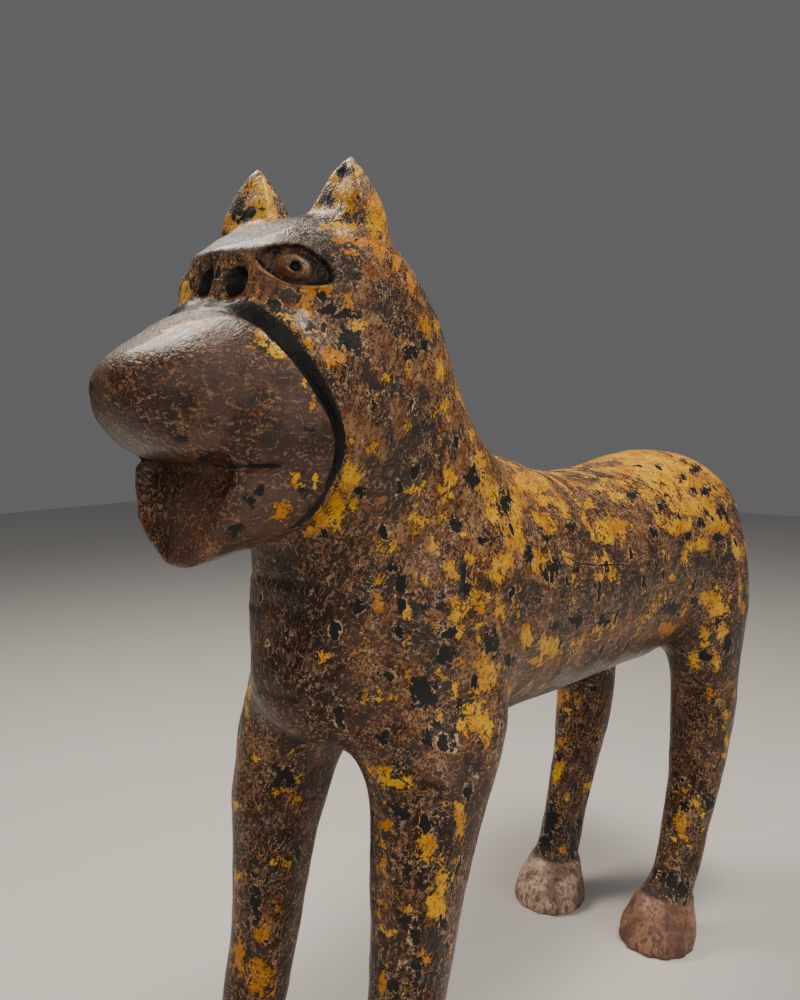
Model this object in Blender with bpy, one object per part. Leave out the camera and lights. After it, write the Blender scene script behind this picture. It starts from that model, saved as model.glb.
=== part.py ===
"""A standing leopard carved from one block of wood, in metres, +Z up.

The figure faces -Y with its left side at +X. The origin lies on the ground
under the middle of the figure. Pose, proportions and carving are shares of
FIGURE_HEIGHT, which runs from the soles to the tips of the ears.
"""

import math

import bmesh
import bpy
import numpy as np

FIGURE_HEIGHT = 1.02

# The y halfway between the tip of the nose and the tail, which is set over the origin at the end.
MIDDLE_Y = 0.0130

# The rough block is first cut to cells of this size, and then smoothed and carved.
CELL = 0.0037
FACETS = 8800
RING_SIDES = 40
SQUARENESS = 2.2
LIP_SQUARENESS = 2.9
STEPS_BETWEEN_ROWS = 6

# What lies this close to the ground is set flat on it.
SOLE_SNAP = 0.0044

# Trunk, cut across at each y: y, underside z, back z, half width.
TRUNK = (
    (-0.385, 0.500, 0.600, 0.045),
    (-0.350, 0.480, 0.680, 0.086),
    (-0.290, 0.464, 0.725, 0.128),
    (-0.200, 0.446, 0.740, 0.135),
    (-0.100, 0.433, 0.737, 0.130),
    (-0.020, 0.428, 0.719, 0.126),
    (0.060, 0.424, 0.704, 0.125),
    (0.150, 0.419, 0.700, 0.125),
    (0.240, 0.415, 0.704, 0.127),
    (0.330, 0.414, 0.714, 0.131),
    (0.420, 0.420, 0.718, 0.133),
    (0.480, 0.440, 0.704, 0.127),
    (0.530, 0.474, 0.676, 0.109),
    (0.560, 0.510, 0.640, 0.078),
    (0.572, 0.550, 0.598, 0.030),
)

# Chest, neck and head as one column, cut level at each z: z, front y, back y, half width.
NECK = (
    (0.464, -0.350, -0.160, 0.050),
    (0.476, -0.372, -0.120, 0.080),
    (0.500, -0.392, -0.070, 0.102),
    (0.540, -0.395, -0.045, 0.110),
    (0.580, -0.389, -0.030, 0.112),
    (0.640, -0.389, -0.040, 0.113),
    (0.680, -0.398, -0.070, 0.112),
    (0.730, -0.415, -0.110, 0.109),
    (0.770, -0.430, -0.163, 0.107),
    (0.800, -0.437, -0.187, 0.107),
    (0.830, -0.443, -0.203, 0.107),
    (0.850, -0.452, -0.213, 0.107),
    (0.870, -0.464, -0.227, 0.105),
    (0.890, -0.460, -0.241, 0.099),
    (0.910, -0.449, -0.259, 0.093),
    (0.928, -0.424, -0.286, 0.084),
    (0.942, -0.398, -0.315, 0.062),
    (0.948, -0.372, -0.345, 0.030),
)

# Cheeks and skull behind the muzzle, cut across at each y: y, underside z, top z, half width.
HEAD = (
    (-0.430, 0.702, 0.862, 0.092),
    (-0.418, 0.690, 0.880, 0.104),
    (-0.400, 0.681, 0.900, 0.108),
    (-0.360, 0.672, 0.920, 0.108),
    (-0.310, 0.666, 0.928, 0.107),
    (-0.260, 0.668, 0.896, 0.094),
    (-0.225, 0.690, 0.850, 0.070),
)

# Upper muzzle, cut across at each y: y, underside z, bridge z, half width.
MUZZLE = (
    (-0.561, 0.792, 0.804, 0.008),
    (-0.556, 0.779, 0.816, 0.027),
    (-0.541, 0.762, 0.828, 0.048),
    (-0.515, 0.746, 0.841, 0.071),
    (-0.490, 0.737, 0.854, 0.087),
    (-0.472, 0.730, 0.864, 0.097),
    (-0.456, 0.714, 0.875, 0.104),
    (-0.442, 0.700, 0.880, 0.109),
    (-0.430, 0.693, 0.882, 0.110),
    (-0.422, 0.694, 0.880, 0.107),
    (-0.400, 0.710, 0.860, 0.095),
)

# Lower jaw, one half of its corners: x, y, z. It hangs open and ends in a point.
JAW = (
    (0.070, -0.488, 0.745),
    (0.067, -0.494, 0.720),
    (0.055, -0.500, 0.695),
    (0.037, -0.502, 0.673),
    (0.015, -0.503, 0.656),
    (0.000, -0.503, 0.652),
    (0.104, -0.436, 0.768),
    (0.104, -0.430, 0.740),
    (0.096, -0.430, 0.714),
    (0.077, -0.430, 0.692),
    (0.045, -0.430, 0.680),
    (0.000, -0.430, 0.674),
    (0.070, -0.400, 0.700),
    (0.000, -0.380, 0.667),
)

# Foreleg, cut level at each z: z, x, front y, back y, half width.
FORELEG = (
    (0.600, 0.050, -0.335, -0.150, 0.055),
    (0.530, 0.060, -0.350, -0.155, 0.064),
    (0.485, 0.074, -0.350, -0.168, 0.068),
    (0.455, 0.085, -0.350, -0.190, 0.063),
    (0.420, 0.093, -0.350, -0.222, 0.053),
    (0.380, 0.096, -0.353, -0.243, 0.047),
    (0.330, 0.096, -0.354, -0.264, 0.042),
    (0.280, 0.096, -0.356, -0.278, 0.038),
    (0.230, 0.096, -0.361, -0.289, 0.036),
    (0.180, 0.096, -0.371, -0.304, 0.034),
    (0.140, 0.096, -0.377, -0.313, 0.032),
    (0.090, 0.096, -0.384, -0.320, 0.032),
    (0.068, 0.096, -0.390, -0.322, 0.034),
    (0.045, 0.096, -0.402, -0.318, 0.043),
    (0.020, 0.096, -0.411, -0.311, 0.050),
    (0.006, 0.096, -0.412, -0.307, 0.052),
    (0.000, 0.096, -0.410, -0.310, 0.050),
)

# Hind leg, cut level at each z: z, x, front y, back y, half width.
HIND_LEG = (
    (0.640, 0.070, 0.380, 0.510, 0.045),
    (0.580, 0.082, 0.345, 0.535, 0.052),
    (0.520, 0.091, 0.325, 0.535, 0.056),
    (0.460, 0.098, 0.330, 0.508, 0.055),
    (0.400, 0.100, 0.345, 0.470, 0.052),
    (0.350, 0.101, 0.360, 0.460, 0.049),
    (0.300, 0.100, 0.361, 0.454, 0.046),
    (0.250, 0.100, 0.353, 0.440, 0.042),
    (0.200, 0.100, 0.340, 0.417, 0.037),
    (0.150, 0.099, 0.320, 0.390, 0.034),
    (0.110, 0.098, 0.303, 0.371, 0.033),
    (0.085, 0.096, 0.290, 0.355, 0.033),
    (0.068, 0.094, 0.275, 0.340, 0.035),
    (0.045, 0.092, 0.250, 0.334, 0.044),
    (0.020, 0.091, 0.232, 0.331, 0.051),
    (0.006, 0.090, 0.227, 0.333, 0.052),
    (0.000, 0.090, 0.230, 0.330, 0.050),
)

# Ear, cut level at each z: z, x, front y, back y, half width.
EAR = (
    (0.905, 0.053, -0.386, -0.320, 0.0360),
    (0.925, 0.054, -0.381, -0.325, 0.0340),
    (0.938, 0.055, -0.377, -0.328, 0.0310),
    (0.953, 0.055, -0.374, -0.330, 0.0275),
    (0.963, 0.055, -0.371, -0.333, 0.0232),
    (0.976, 0.055, -0.365, -0.339, 0.0165),
    (0.986, 0.055, -0.361, -0.343, 0.0112),
    (0.994, 0.055, -0.356, -0.347, 0.0055),
    (0.998, 0.055, -0.354, -0.349, 0.0025),
)
EAR_SQUARENESS = 4.5

# The right ear stands a little further out, forward and higher than the left one: x, y, z.
RIGHT_EAR_SHIFT = (-0.002, -0.003, 0.006)

# Tail, a low rib that hangs down the rump, cut level at each z: z, front y, back y, half width.
TAIL = (
    (0.650, 0.490, 0.552, 0.014),
    (0.610, 0.520, 0.581, 0.017),
    (0.560, 0.520, 0.587, 0.017),
    (0.510, 0.500, 0.568, 0.016),
    (0.465, 0.470, 0.535, 0.014),
    (0.440, 0.460, 0.508, 0.011),
)

# Where the neck, trunk and legs flow into each other: y, z, reach and how often it is smoothed.
BLENDS = (
    (-0.100, 0.700, 0.150, 90),
    (-0.290, 0.520, 0.160, 70),
    (0.430, 0.500, 0.170, 70),
    (-0.200, 0.900, 0.110, 20),
    (-0.385, 0.815, 0.075, 30),
)
EVEN_ROUNDS = 3

# A channel runs round the head behind the muzzle: z and y along its middle.
CHANNEL = (
    (0.670, -0.434),
    (0.688, -0.429),
    (0.707, -0.422),
    (0.722, -0.417),
    (0.740, -0.415),
    (0.757, -0.417),
    (0.774, -0.425),
    (0.793, -0.438),
    (0.812, -0.450),
    (0.830, -0.459),
    (0.849, -0.465),
    (0.880, -0.468),
)
CHANNEL_HALF = 0.0068
CHANNEL_DEPTH = 0.012
CHANNEL_TOP_Z = 0.856
CHANNEL_TOP_FADE = 0.010
CHANNEL_LOW_Z = 0.685
HEAD_AXIS_Z = 0.785

# Two hollows beside the bridge of the nose, under the brow, the bridge a little to the left.
BRIDGE_X = 0.0065
HOLLOW = (0.0170, -0.460, 0.884)
HOLLOW_REACH = (0.0095, 0.030, 0.0125)
HOLLOW_DEPTH = 0.019
BROW = (0.0, -0.452, 0.910)
BROW_REACH = (0.075, 0.030, 0.007)
BROW_RISE = 0.004

# The eye looks out sideways at EYE_TURN from straight ahead. EYE_RECESS and the lid's middle and
# spread are counted outwards in almonds, 1 on the outline.
EYE = (0.068, -0.431, 0.8935)
EYE_TURN = math.radians(47)
EYE_TILT = math.radians(-16)
EYE_HALF_LENGTH = 0.0320
EYE_UPPER_HEIGHT = 0.0185
EYE_LOWER_HEIGHT = 0.0140
EYE_DEPTH = 0.0085
EYE_POINTEDNESS = 1.35
EYE_RECESS = (0.55, 1.05)
EYE_FADE = (0.030, 0.045)
LID_RISE = 0.0022
LID_MIDDLE = 1.25
LID_SPREAD = 0.4
BALL_HALF_LENGTH = 0.0150
BALL_HALF_HEIGHT = 0.0108
BALL_RISE = 0.0110

# The lips part in a slit that runs back from the open front of the mouth.
MOUTH_Z = 0.739
MOUTH_FRONT_Y = -0.500
MOUTH_BACK_Y = -0.462
MOUTH_HALF = 0.0030
MOUTH_DEPTH = 0.006

# The inside of the jaw is scooped out, with a rim left along its edges.
SCOOP_DEPTH = 0.004
SCOOP_RIM = 0.010
SCOOP_TOP_EXTRA = 0.011

# Faint steps across the chest: z at the middle, and how far each drops towards the sides.
CHEST_STEPS = (0.628, 0.600, 0.522)
CHEST_STEP_DROP = 0.12
CHEST_STEP_HALF = 0.006
CHEST_STEP_DEPTH = 0.0015

# Hooves: their tops stand proud of the ankles, and their sides are fluted.
HOOF_TOP_Z = 0.064
HOOF_STEP = 0.0022
FLUTES = 13
FLUTE_DEPTH = 0.0011
FORE_HOOF = (0.096, -0.360)
HIND_HOOF = (0.090, 0.283)

PAINTED_WOOD = (0.235, 0.150, 0.080, 1.0)
PAINTED_WOOD_ROUGHNESS = 0.42


def sized(values):
    """Shares of the figure's height as metres."""
    return np.asarray(values, float) * FIGURE_HEIGHT


def smooth_rows(rows):
    """Rows read from a smooth curve through the given rows."""
    rows = np.asarray(rows, float)
    padded = np.vstack((2 * rows[0] - rows[1], rows, 2 * rows[-1] - rows[-2]))
    found = []
    for i in range(1, len(rows)):
        a, b, c, d = padded[i - 1 : i + 3]
        for step in range(STEPS_BETWEEN_ROWS):
            t = step / STEPS_BETWEEN_ROWS
            bend = t * (2 * a - 5 * b + 4 * c - d + t * (3 * (b - c) + d - a))
            found.append(b + 0.5 * t * (c - a + bend))
    found.append(rows[-1])
    return np.array(found)


def section(above, below):
    """Cosines and sines around a section: 2 gives an ellipse and more a squarer one."""
    turn = np.linspace(0, 2 * math.pi, RING_SIDES, endpoint=False)
    power = 2 / np.where(turn < math.pi, above, below)
    across = np.sign(np.cos(turn)) * np.abs(np.cos(turn)) ** power
    along = np.sign(np.sin(turn)) * np.abs(np.sin(turn)) ** power
    return across, along


def upright_rings(rows, above=SQUARENESS, below=SQUARENESS):
    """Sections across y from rows of y, lower z, upper z and half width."""
    across, along = section(above, below)
    rings = []
    for y, low, high, half in smooth_rows(rows):
        z = (low + high) / 2 + (high - low) / 2 * along
        rings.append(np.stack((half * across, np.full(RING_SIDES, y), z), axis=1))
    return rings


def level_rings(rows, side=1, squareness=SQUARENESS):
    """Sections across z from rows of z, x, front y, back y and half width."""
    across, along = section(squareness, squareness)
    rings = []
    for z, x, front, back, half in smooth_rows(rows):
        y = (front + back) / 2 + (back - front) / 2 * along
        rings.append(np.stack((side * (x + half * across), y, np.full(RING_SIDES, z)), axis=1))
    return rings


def on_middle(rows):
    """Level rows of the middle plane, with their x of 0 filled in."""
    return [(z, 0, front, back, half) for z, front, back, half in rows]


def add_shell(bm, rings):
    """A closed shell through the rings, with flat ends."""
    loops = [[bm.verts.new(point) for point in sized(ring)] for ring in rings]
    faces = [bm.faces.new(loops[0]), bm.faces.new(loops[-1])]
    for near, far in zip(loops, loops[1:]):
        for i in range(RING_SIDES):
            j = (i + 1) % RING_SIDES
            faces.append(bm.faces.new((near[i], near[j], far[j], far[i])))
    bmesh.ops.recalc_face_normals(bm, faces=faces)


def add_hull(bm, points):
    """The faceted shape stretched over some points."""
    verts = [bm.verts.new(point) for point in sized(points)]
    made = bmesh.ops.convex_hull(bm, input=verts, use_existing_faces=False)
    bmesh.ops.recalc_face_normals(bm, faces=[f for f in made["geom"] if isinstance(f, bmesh.types.BMFace)])
    unused = [v for v in verts if v.is_valid and not v.link_faces]
    bmesh.ops.delete(bm, geom=unused, context="VERTS")


def rough_block():
    """The trunk, neck, head, legs, ears and tail as overlapping shells in one mesh."""
    bm = bmesh.new()
    add_shell(bm, upright_rings(TRUNK))
    add_shell(bm, level_rings(on_middle(NECK)))
    add_shell(bm, upright_rings(HEAD))
    add_shell(bm, upright_rings(MUZZLE, below=LIP_SQUARENESS))
    add_shell(bm, level_rings(on_middle(TAIL)))
    add_hull(bm, [(side * x, y, z) for x, y, z in JAW for side in (1, -1)])
    for side in (1, -1):
        for rows in (FORELEG, HIND_LEG):
            add_shell(bm, level_rings(rows, side))
    add_shell(bm, level_rings(EAR, 1, EAR_SQUARENESS))
    add_shell(bm, [ring + RIGHT_EAR_SHIFT for ring in level_rings(EAR, -1, EAR_SQUARENESS)])
    mesh = bpy.data.meshes.new("rough block")
    bm.to_mesh(mesh)
    bm.free()
    return mesh


def after_modifier(mesh, kind, **settings):
    """The mesh that one modifier makes of another mesh."""
    holder = bpy.data.objects.new("holder", mesh)
    bpy.context.scene.collection.objects.link(holder)
    modifier = holder.modifiers.new(kind.title(), kind)
    for name, value in settings.items():
        setattr(modifier, name, value)
    bpy.context.view_layer.update()
    depsgraph = bpy.context.evaluated_depsgraph_get()
    made = bpy.data.meshes.new_from_object(holder.evaluated_get(depsgraph))
    bpy.data.objects.remove(holder, do_unlink=True)
    return made


def numbers(collection, name, width, kind=np.float64):
    """One property of every item of a mesh collection, as an array."""
    values = np.empty(len(collection) * width, kind)
    collection.foreach_get(name, values)
    return values.reshape(-1, width) if width > 1 else values


def smoothed(points, edges, rounds, amount):
    """Points moved towards the middle of their neighbours, by an amount for each point."""
    count = len(points)
    first, second = edges[:, 0], edges[:, 1]
    neighbours = np.bincount(first, minlength=count) + np.bincount(second, minlength=count)
    for _ in range(rounds):
        total = np.stack(
            [
                np.bincount(first, points[second, k], count) + np.bincount(second, points[first, k], count)
                for k in range(3)
            ],
            axis=1,
        )
        points = points + amount[:, None] * (total / neighbours[:, None] - points)
    return points


def fade(distance, start, end):
    """1 up to the start and 0 from the end on, with a smooth passage between."""
    t = np.clip((distance - start) / (end - start), 0, 1)
    return 1 - t * t * (3 - 2 * t)


def blend_joins(points, edges):
    """Smooths the creases where the neck, trunk and legs meet."""
    for y, z, reach, rounds in BLENDS:
        far = np.hypot(points[:, 1] - y, points[:, 2] - z)
        points = smoothed(points, edges, rounds, 0.5 * fade(far, reach * 0.6, reach))
    return smoothed(points, edges, EVEN_ROUNDS, np.full(len(points), 0.5))


def bump(offset):
    """A soft hill of height 1 over an offset counted in reaches."""
    return np.exp(-(offset**2))


def cut_channel(points):
    """The channel behind the muzzle, cut towards the middle of the head."""
    x, y, z = points.T
    depth = CHANNEL_DEPTH * bump((y - np.interp(z, *zip(*CHANNEL))) / CHANNEL_HALF)
    depth = depth * fade(z, CHANNEL_TOP_Z, CHANNEL_TOP_Z + CHANNEL_TOP_FADE)
    depth = depth * fade(-z, -CHANNEL_LOW_Z, -CHANNEL_LOW_Z + 0.020)
    inward = np.stack((-x, np.zeros_like(x), HEAD_AXIS_Z - z), axis=1)
    inward /= np.linalg.norm(inward, axis=1, keepdims=True) + 1e-9
    return points + inward * depth[:, None]


def shape_brow(points):
    """Hollows beside the bridge of the nose, and the brow that stands over them."""
    x, y, z = points.T
    hollow = bump((np.abs(x - BRIDGE_X) - HOLLOW[0]) / HOLLOW_REACH[0])
    hollow = hollow * bump((y - HOLLOW[1]) / HOLLOW_REACH[1]) * bump((z - HOLLOW[2]) / HOLLOW_REACH[2])
    brow = bump((x - BROW[0]) / BROW_REACH[0]) * bump((y - BROW[1]) / BROW_REACH[1])
    brow = brow * bump((z - BROW[2]) / BROW_REACH[2])
    moved = points.copy()
    moved[:, 1] += HOLLOW_DEPTH * hollow - BROW_RISE * brow
    return moved


def carve_eye(points, side):
    """An almond recess with raised lids and a bulging eyeball."""
    outward = np.array((side * math.sin(EYE_TURN), -math.cos(EYE_TURN), 0.0))
    backward = np.array((side * math.cos(EYE_TURN), math.sin(EYE_TURN), 0.0))
    offset = points - np.array((side * EYE[0], EYE[1], EYE[2]))
    level, rise = offset @ backward, offset[:, 2]
    along = level * math.cos(EYE_TILT) + rise * math.sin(EYE_TILT)
    above = rise * math.cos(EYE_TILT) - level * math.sin(EYE_TILT)
    near = fade(np.abs(offset @ outward), *EYE_FADE)
    reach = np.where(above > 0, EYE_UPPER_HEIGHT, EYE_LOWER_HEIGHT)
    almond = np.abs(along / EYE_HALF_LENGTH) ** EYE_POINTEDNESS + (above / reach) ** 2
    ball = np.hypot(along / BALL_HALF_LENGTH, above / BALL_HALF_HEIGHT)
    height = -EYE_DEPTH * fade(almond, *EYE_RECESS)
    height = height + LID_RISE * bump((almond - LID_MIDDLE) / LID_SPREAD)
    height = height + BALL_RISE * np.sqrt(np.clip(1 - ball**2, 0, None))
    return points + outward * (height * near)[:, None]


def cut_mouth(points):
    """The slit between the lips at each side."""
    x, y, z = points.T
    depth = MOUTH_DEPTH * bump((z - MOUTH_Z) / MOUTH_HALF)
    depth = depth * fade(y, MOUTH_BACK_Y - 0.006, MOUTH_BACK_Y + 0.004)
    depth = depth * fade(-y, -MOUTH_FRONT_Y, -MOUTH_FRONT_Y + 0.010) * fade(-np.abs(x), -0.06, -0.04)
    return points - np.stack((np.sign(x) * depth, np.zeros_like(x), np.zeros_like(x)), axis=1)


def jaw_half_width(z):
    """Half the width of the jaw's open face at a height."""
    corners = sorted((corner[2], corner[0]) for corner in JAW[:6])
    return np.interp(z, [corner[0] for corner in corners], [corner[1] for corner in corners])


def scoop_jaw(points):
    """The inside of the hanging jaw, scooped out behind its rim."""
    x, y, z = points.T
    inside = jaw_half_width(z) - SCOOP_RIM - np.abs(x)
    scoop = fade(-inside, -SCOOP_RIM, 0) * fade(y, -0.480, -0.470) * fade(z, 0.738, 0.744)
    scoop = scoop * fade(-z, -0.672, -0.660) * fade(-y, 0.515, 0.520)
    deeper = fade(-z, -0.735, -0.700)
    moved = points.copy()
    moved[:, 1] += scoop * (SCOOP_DEPTH + SCOOP_TOP_EXTRA * deeper)
    return moved


def step_chest(points):
    """Faint steps across the front of the chest."""
    x, y, z = points.T
    front = fade(y, -0.350, -0.300) * fade(np.abs(x), 0.070, 0.110)
    moved = points.copy()
    for middle in CHEST_STEPS:
        off = (z - middle + CHEST_STEP_DROP * np.abs(x)) / CHEST_STEP_HALF
        moved[:, 1] += CHEST_STEP_DEPTH * front * np.where(off > 0, bump(off), -0.5 * bump(off))
    return moved


def flute_hooves(points):
    """Hooves that stand proud of the ankles, with flutes down their sides."""
    moved = points.copy()
    for hoof_x, hoof_y in (FORE_HOOF, HIND_HOOF):
        for side in (1, -1):
            dx, dy = points[:, 0] - side * hoof_x, points[:, 1] - hoof_y
            away = np.hypot(dx, dy) + 1e-9
            own = fade(away, 0.075, 0.085) * fade(points[:, 2], HOOF_TOP_Z - 0.002, HOOF_TOP_Z + 0.002)
            flutes = np.cos(FLUTES * np.arctan2(dy, dx)) * fade(points[:, 2], 0.045, HOOF_TOP_Z)
            out = own * fade(-away, -0.030, -0.015) * (HOOF_STEP + FLUTE_DEPTH * flutes)
            moved[:, 0] += out * dx / away
            moved[:, 1] += out * dy / away
    return moved


def carved(points):
    """All the carving, in the order in which it is cut."""
    points = cut_channel(points)
    points = shape_brow(points)
    for side in (1, -1):
        points = carve_eye(points, side)
    points = cut_mouth(points)
    points = scoop_jaw(points)
    points = step_chest(points)
    return flute_hooves(points)


def flatten_soles(mesh, reach):
    """Sets the lowest points of the feet on the ground."""
    points = numbers(mesh.vertices, "co", 3)
    points[points[:, 2] < reach * FIGURE_HEIGHT, 2] = 0
    mesh.vertices.foreach_set("co", points.ravel())
    mesh.update()


def leopard_mesh():
    """The carved figure as one closed mesh of about FACETS triangles."""
    cell = CELL * FIGURE_HEIGHT
    mesh = after_modifier(rough_block(), "REMESH", mode="VOXEL", voxel_size=cell, adaptivity=0.0)
    edges = numbers(mesh.edges, "vertices", 2, np.int32)
    points = numbers(mesh.vertices, "co", 3) / FIGURE_HEIGHT
    points = carved(blend_joins(points, edges))
    mesh.vertices.foreach_set("co", sized(points - (0, MIDDLE_Y, 0)).ravel())
    mesh.update()
    flatten_soles(mesh, SOLE_SNAP)
    ratio = FACETS / (2 * len(mesh.polygons))
    mesh = after_modifier(mesh, "DECIMATE", ratio=ratio, use_collapse_triangulate=True)
    flatten_soles(mesh, SOLE_SNAP / 3)
    return mesh


def painted_wood():
    """Painted and varnished wood."""
    material = bpy.data.materials.new("painted wood")
    material.use_nodes = True
    shader = material.node_tree.nodes["Principled BSDF"]
    shader.inputs["Base Color"].default_value = PAINTED_WOOD
    shader.inputs["Roughness"].default_value = PAINTED_WOOD_ROUGHNESS
    shader.inputs["Metallic"].default_value = 0.0
    return material


def main():
    for old in list(bpy.data.objects):
        bpy.data.objects.remove(old, do_unlink=True)
    mesh = leopard_mesh()
    mesh.name = "leopard"
    mesh.materials.clear()
    mesh.materials.append(painted_wood())
    mesh.shade_smooth()
    leopard = bpy.data.objects.new("leopard", mesh)
    bpy.context.scene.collection.objects.link(leopard)


main()
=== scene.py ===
"""The looks of a standing leopard carved in wood, painted and varnished, in metres, +Z up.

The figure faces -Y with its left side at +X. Pose, proportions and carving are shares of
the figure's height, which comes from the frame. Shares of y are counted from the same place
as in the solid's rows, and MIDDLE_Y is the one that stands over the origin.
"""

import math

import bmesh
import bpy
import numpy as np
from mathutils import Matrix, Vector, noise


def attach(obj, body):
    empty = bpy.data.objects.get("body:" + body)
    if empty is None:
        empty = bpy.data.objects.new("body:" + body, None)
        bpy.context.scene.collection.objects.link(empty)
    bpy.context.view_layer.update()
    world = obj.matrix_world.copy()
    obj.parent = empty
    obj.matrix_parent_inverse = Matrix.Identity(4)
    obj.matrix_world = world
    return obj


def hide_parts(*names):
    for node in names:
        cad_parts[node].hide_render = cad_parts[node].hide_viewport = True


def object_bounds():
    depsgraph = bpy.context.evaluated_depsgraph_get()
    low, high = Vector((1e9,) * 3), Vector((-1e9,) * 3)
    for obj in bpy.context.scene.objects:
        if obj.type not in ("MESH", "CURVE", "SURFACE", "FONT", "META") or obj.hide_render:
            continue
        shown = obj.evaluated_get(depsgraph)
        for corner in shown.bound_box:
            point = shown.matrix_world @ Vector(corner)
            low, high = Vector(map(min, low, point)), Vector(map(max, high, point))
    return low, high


THOUSANDTHS = 1000


def shares(*rows):
    """Rows given in thousandths of the height, as shares of it."""
    return [[value / THOUSANDTHS for value in row] for row in rows]


MIDDLE_Y = 0.0130
EAR_TIP = 1.0033

# The rough block is first cut to cells of this size, and then smoothed, refined and carved.
CELL = 0.0053
RING_SIDES = 40
SQUARENESS = 2.2
LIP_SQUARENESS = 2.9
STEPS_BETWEEN_ROWS = 6

# What lies this close to the ground is set flat on it.
SOLE_SNAP = 0.0044

# Trunk, cut across at each y: y, underside z, back z, half width.
TRUNK = shares(
    (-385, 500, 600, 45), (-350, 480, 680, 86), (-290, 464, 725, 128), (-200, 446, 740, 135),
    (-100, 433, 737, 130), (-20, 428, 719, 126), (60, 424, 704, 125), (150, 419, 700, 125),
    (240, 415, 704, 127), (330, 414, 714, 131), (420, 420, 718, 133), (480, 440, 704, 127),
    (530, 474, 676, 109), (560, 510, 640, 78), (572, 550, 598, 30),
)

# Chest, neck and head as one column, cut level at each z: z, front y, back y, half width.
NECK = shares(
    (464, -350, -160, 50), (476, -372, -120, 80), (500, -392, -70, 102), (540, -395, -45, 110),
    (580, -389, -30, 112), (640, -389, -40, 113), (680, -398, -70, 112), (730, -415, -110, 109),
    (770, -430, -163, 107), (800, -437, -187, 107), (830, -443, -203, 107), (850, -452, -213, 107),
    (870, -464, -227, 105), (890, -460, -241, 99), (910, -449, -259, 93), (928, -424, -286, 84),
    (942, -398, -315, 62), (948, -372, -345, 30),
)

# Cheeks and skull behind the muzzle, cut across at each y: y, underside z, top z, half width.
HEAD = shares(
    (-430, 702, 862, 92), (-418, 690, 880, 104), (-400, 681, 900, 108), (-360, 672, 920, 108),
    (-310, 666, 928, 107), (-260, 668, 896, 94), (-225, 690, 850, 70),
)

# Upper muzzle, cut across at each y: y, underside z, bridge z, half width.
MUZZLE = shares(
    (-561, 792, 804, 8), (-556, 779, 816, 27), (-541, 762, 828, 48), (-515, 746, 841, 71),
    (-490, 737, 854, 87), (-472, 730, 864, 97), (-456, 714, 875, 104), (-442, 700, 880, 109),
    (-430, 693, 882, 110), (-422, 694, 880, 107), (-400, 710, 860, 95),
)

# Lower jaw, one half of its corners: x, y, z. It hangs open and ends in a point.
JAW = shares(
    (70, -488, 745), (67, -494, 720), (55, -500, 695), (37, -502, 673), (15, -503, 656), (0, -503, 652),
    (104, -436, 768), (104, -430, 740), (96, -430, 714), (77, -430, 692), (45, -430, 680),
    (0, -430, 674), (70, -400, 700), (0, -380, 667),
)

# Foreleg, cut level at each z: z, x, front y, back y, half width.
FORELEG = shares(
    (600, 50, -335, -150, 55), (530, 60, -350, -155, 64), (485, 74, -350, -168, 68),
    (455, 85, -350, -190, 63), (420, 93, -350, -222, 53), (380, 96, -353, -243, 47),
    (330, 96, -354, -264, 42), (280, 96, -356, -278, 38), (230, 96, -361, -289, 36),
    (180, 96, -371, -304, 34), (140, 96, -377, -313, 32), (90, 96, -384, -320, 32),
    (68, 96, -390, -322, 34), (45, 96, -402, -318, 43), (20, 96, -411, -311, 50),
    (6, 96, -412, -307, 52), (0, 96, -410, -310, 50),
)

# Hind leg, cut level at each z: z, x, front y, back y, half width.
HIND_LEG = shares(
    (640, 70, 380, 510, 45), (580, 82, 345, 535, 52), (520, 91, 325, 535, 56), (460, 98, 330, 508, 55),
    (400, 100, 345, 470, 52), (350, 101, 360, 460, 49), (300, 100, 361, 454, 46),
    (250, 100, 353, 440, 42), (200, 100, 340, 417, 37), (150, 99, 320, 390, 34),
    (110, 98, 303, 371, 33), (85, 96, 290, 355, 33), (68, 94, 275, 340, 35), (45, 92, 250, 334, 44),
    (20, 91, 232, 331, 51), (6, 90, 227, 333, 52), (0, 90, 230, 330, 50),
)

# Ear, cut level at each z: z, x, front y, back y, half width.
EAR = (
    (0.905, 0.053, -0.386, -0.320, 0.0360),
    (0.925, 0.054, -0.381, -0.325, 0.0340),
    (0.938, 0.055, -0.377, -0.328, 0.0310),
    (0.953, 0.055, -0.374, -0.330, 0.0275),
    (0.963, 0.055, -0.371, -0.333, 0.0232),
    (0.976, 0.055, -0.365, -0.339, 0.0165),
    (0.986, 0.055, -0.361, -0.343, 0.0112),
    (0.994, 0.055, -0.356, -0.347, 0.0055),
    (0.998, 0.055, -0.354, -0.349, 0.0025),
)
EAR_SQUARENESS = 4.5

# The right ear stands a little further out, forward and higher than the left one: x, y, z.
RIGHT_EAR_SHIFT = (-0.002, -0.003, 0.006)

# Tail, a low rib that hangs down the rump, cut level at each z: z, front y, back y, half width.
TAIL = shares(
    (650, 490, 552, 14), (610, 520, 581, 17), (560, 520, 587, 17), (510, 500, 568, 16),
    (465, 470, 535, 14), (440, 460, 508, 11),
)

# Where the neck, trunk and legs flow into each other: y, z, reach and how often it is smoothed.
BLENDS = (
    (-0.100, 0.700, 0.150, 62),
    (-0.290, 0.520, 0.160, 48),
    (0.430, 0.500, 0.170, 48),
    (-0.200, 0.900, 0.110, 14),
    (-0.385, 0.815, 0.075, 21),
)
EVEN_ROUNDS = 2

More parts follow.
